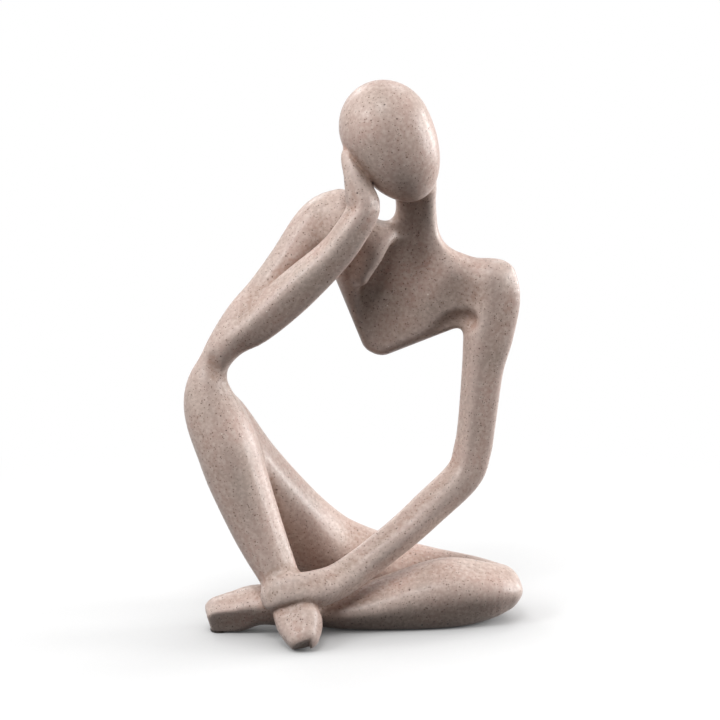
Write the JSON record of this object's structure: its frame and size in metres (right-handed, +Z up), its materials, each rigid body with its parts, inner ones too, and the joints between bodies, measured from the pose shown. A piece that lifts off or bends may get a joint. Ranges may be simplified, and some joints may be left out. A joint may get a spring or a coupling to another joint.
{
  "type": "thinker statue",
  "caption": "Seated abstract figurine with a smooth faceless head resting on a hand, legs crossed, cast in speckled sandstone-look resin; a free-standing shelf or desk ornament.",
  "frame": {"origin": "middle of the bounding box at the table plane, under the felt pads", "axes": "+X to the figure's left (right in the picture), +Y to its back, +Z up"},
  "size_m": [0.1251, 0.0712, 0.2042],
  "materials": {
    "sandstone_resin": "fine-grained sandstone-look cast resin, warm pinkish beige with dark and pale specks, satin sheen",
    "pin_steel": "drawn steel rod, cut ends",
    "felt": "pressed dark brown felt"
  },
  "bodies": {
    "root": {"head_and_chest": "sandstone_resin", "right_arm": "sandstone_resin", "left_arm": "sandstone_resin", "right_leg": "sandstone_resin", "left_leg": "sandstone_resin", "right_shoulder_pin": "pin_steel", "left_shoulder_pin": "pin_steel", "knee_pin": "pin_steel", "hip_pin": "pin_steel", "ankle_pin": "pin_steel", "left_foot_pad": "felt", "left_knee_pad": "felt", "seat_pad": "felt", "right_foot_pad": "felt"}
  },
  "joints": []
}
